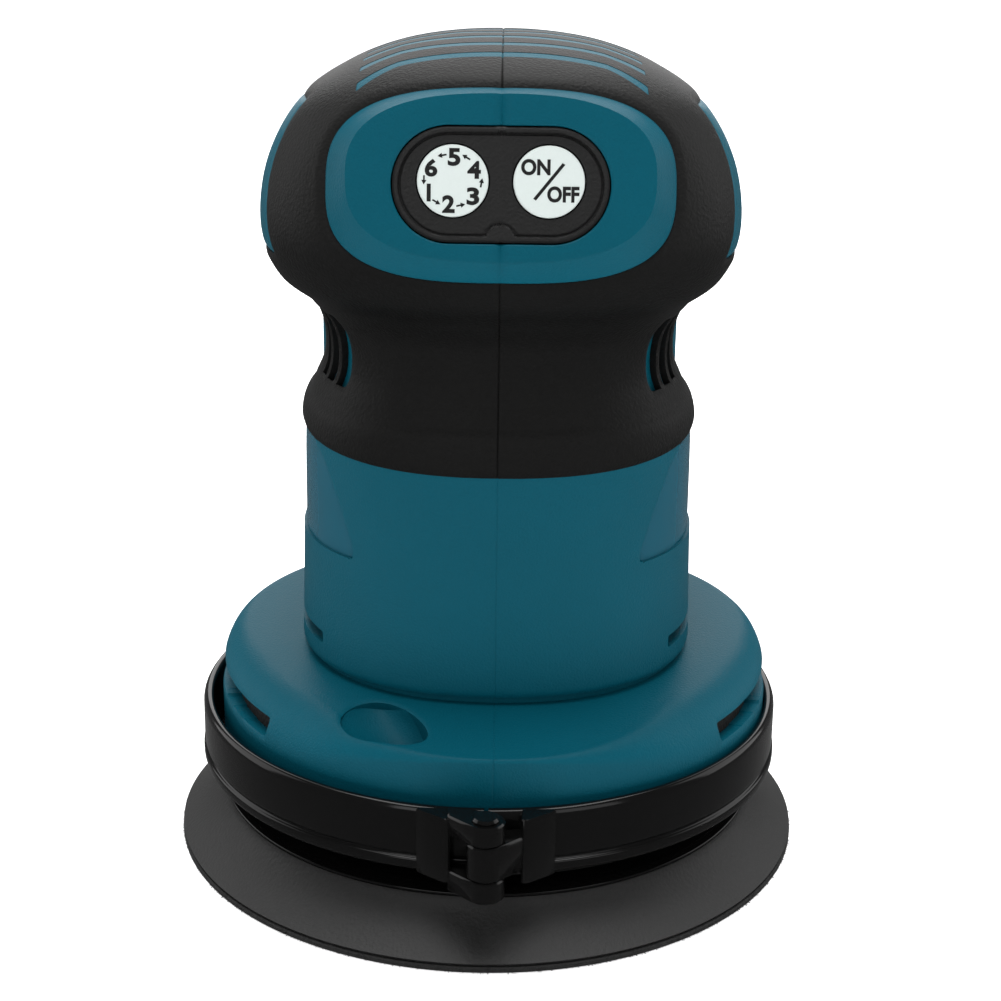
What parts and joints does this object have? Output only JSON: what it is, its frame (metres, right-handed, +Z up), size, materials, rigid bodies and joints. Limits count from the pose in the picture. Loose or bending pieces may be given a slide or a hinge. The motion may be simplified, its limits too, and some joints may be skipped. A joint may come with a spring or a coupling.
{
  "type": "dual action polisher",
  "caption": "Cordless palm-grip dual action polisher: orbiting hook-faced pad, hinged shroud ring, soft grip head with two front keys and a rear slide-on battery.",
  "frame": {"origin": "on the motor axis, in the plane of the pad's working face", "axes": "+Z up along the motor axis, -Y the front with the control keys, +Y the rear with the battery"},
  "size_m": [0.125, 0.1777, 0.1564],
  "materials": {
    "teal_housing": "fine spark-eroded texture",
    "black_overmould": "soft matte grain",
    "panel_black": "fine grain",
    "key_white": "satin printed key",
    "seal_rubber": "matte",
    "circuit_board": "solder mask",
    "component_black": "moulded",
    "capacitor_sleeve": "shrink sleeve",
    "lamination_steel": "stacked sheet",
    "copper_wire": "enamelled",
    "insulator_white": "moulded",
    "bearing_steel": "ground",
    "cast_aluminium": "die cast",
    "zinc_screws": "zinc plated",
    "receiver_black": "moulded",
    "terminal_brass": "tinned",
    "magnet_grey": "epoxy coat",
    "fan_grey": "moulded",
    "weight_iron": "blackened",
    "plate_gloss": "moulded gloss",
    "pad_foam": "skinned foam",
    "hook_pile": "hook pile",
    "shroud_gloss": "high gloss",
    "battery_case": "fine texture",
    "cell_sleeve": "shrink sleeve",
    "nickel_strip": "nickel",
    "button_red": "moulded"
  },
  "bodies": {
    "housing": {"housing_left": "teal_housing", "housing_right": "teal_housing", "grip_left": "black_overmould", "grip_right": "black_overmould", "control_panel": "panel_black", "key_gasket": "seal_rubber", "control_board": "circuit_board", "tact_switches": "component_black", "controller_case": "component_black", "controller_board": "circuit_board", "capacitors": "capacitor_sleeve", "stator_core": "lamination_steel", "stator_windings": "copper_wire", "winding_insulators": "insulator_white", "upper_bearing": "bearing_steel", "lower_bearing": "bearing_steel", "bearing_plate": "cast_aluminium", "plate_screws": "zinc_screws", "pad_brake_ring": "seal_rubber", "housing_screws": "zinc_screws", "battery_receiver": "receiver_black", "receiver_screws": "zinc_screws", "terminal_block": "component_black", "terminal_blades": "terminal_brass"},
    "rotor": {"motor_shaft": "bearing_steel", "rotor_core": "lamination_steel", "rotor_magnets": "magnet_grey", "cooling_fan": "fan_grey", "eccentric_carrier": "cast_aluminium", "counterweight": "weight_iron", "counterweight_screws": "zinc_screws", "pad_bearing_lower": "bearing_steel", "pad_bearing_upper": "bearing_steel", "bearing_circlip": "zinc_screws"},
    "pad": {"pad_spindle": "bearing_steel", "backing_plate": "plate_gloss", "pad_foam": "pad_foam", "hook_face": "hook_pile", "pad_washer": "zinc_screws", "pad_screw": "zinc_screws"},
    "speed_key": {"speed_key": "key_white"},
    "power_key": {"power_key": "key_white"},
    "shroud_left": {"shroud_left": "shroud_gloss", "shroud_hinge_pin": "bearing_steel"},
    "shroud_right": {"shroud_right": "shroud_gloss"},
    "battery": {"battery_case_front": "battery_case", "battery_case_rear": "battery_case", "battery_cells": "cell_sleeve", "cell_holders": "insulator_white", "cell_straps": "nickel_strip", "battery_board": "circuit_board", "battery_contacts": "terminal_brass"},
    "battery_button": {"battery_button": "button_red"}
  },
  "joints": [
    {"name": "rotor_spin", "type": "hinge", "parent": "housing", "child": "rotor", "pos_m": [0, 0, 0.07], "axis": [0, 0, 1], "continuous": true},
    {"name": "pad_spin", "type": "hinge", "parent": "rotor", "child": "pad", "pos_m": [-0.0014, 0, 0.02], "axis": [0, 0, 1], "continuous": true},
    {"name": "speed_key_press", "type": "slide", "parent": "housing", "child": "speed_key", "axis": [0, 0.9816, -0.1908], "range_m": [0, 0.0008], "stiffness_N_per_m": 2500},
    {"name": "power_key_press", "type": "slide", "parent": "housing", "child": "power_key", "axis": [0, 0.9816, -0.1908], "range_m": [0, 0.0008], "stiffness_N_per_m": 2500},
    {"name": "shroud_left_swing", "type": "hinge", "parent": "housing", "child": "shroud_left", "pos_m": [-0.0012, -0.0618, 0.023], "axis": [0, 0, 1], "range_deg": [0, 55]},
    {"name": "shroud_right_swing", "type": "hinge", "parent": "housing", "child": "shroud_right", "pos_m": [-0.0012, -0.0618, 0.023], "axis": [0, 0, -1], "range_deg": [0, 55]},
    {"name": "battery_slide", "type": "slide", "parent": "housing", "child": "battery", "axis": [0, 0, 1], "range_m": [0, 0.085]},
    {"name": "battery_button_press", "type": "slide", "parent": "battery", "child": "battery_button", "axis": [0, 1, 0], "range_m": [0, 0.004], "stiffness_N_per_m": 900}
  ]
}
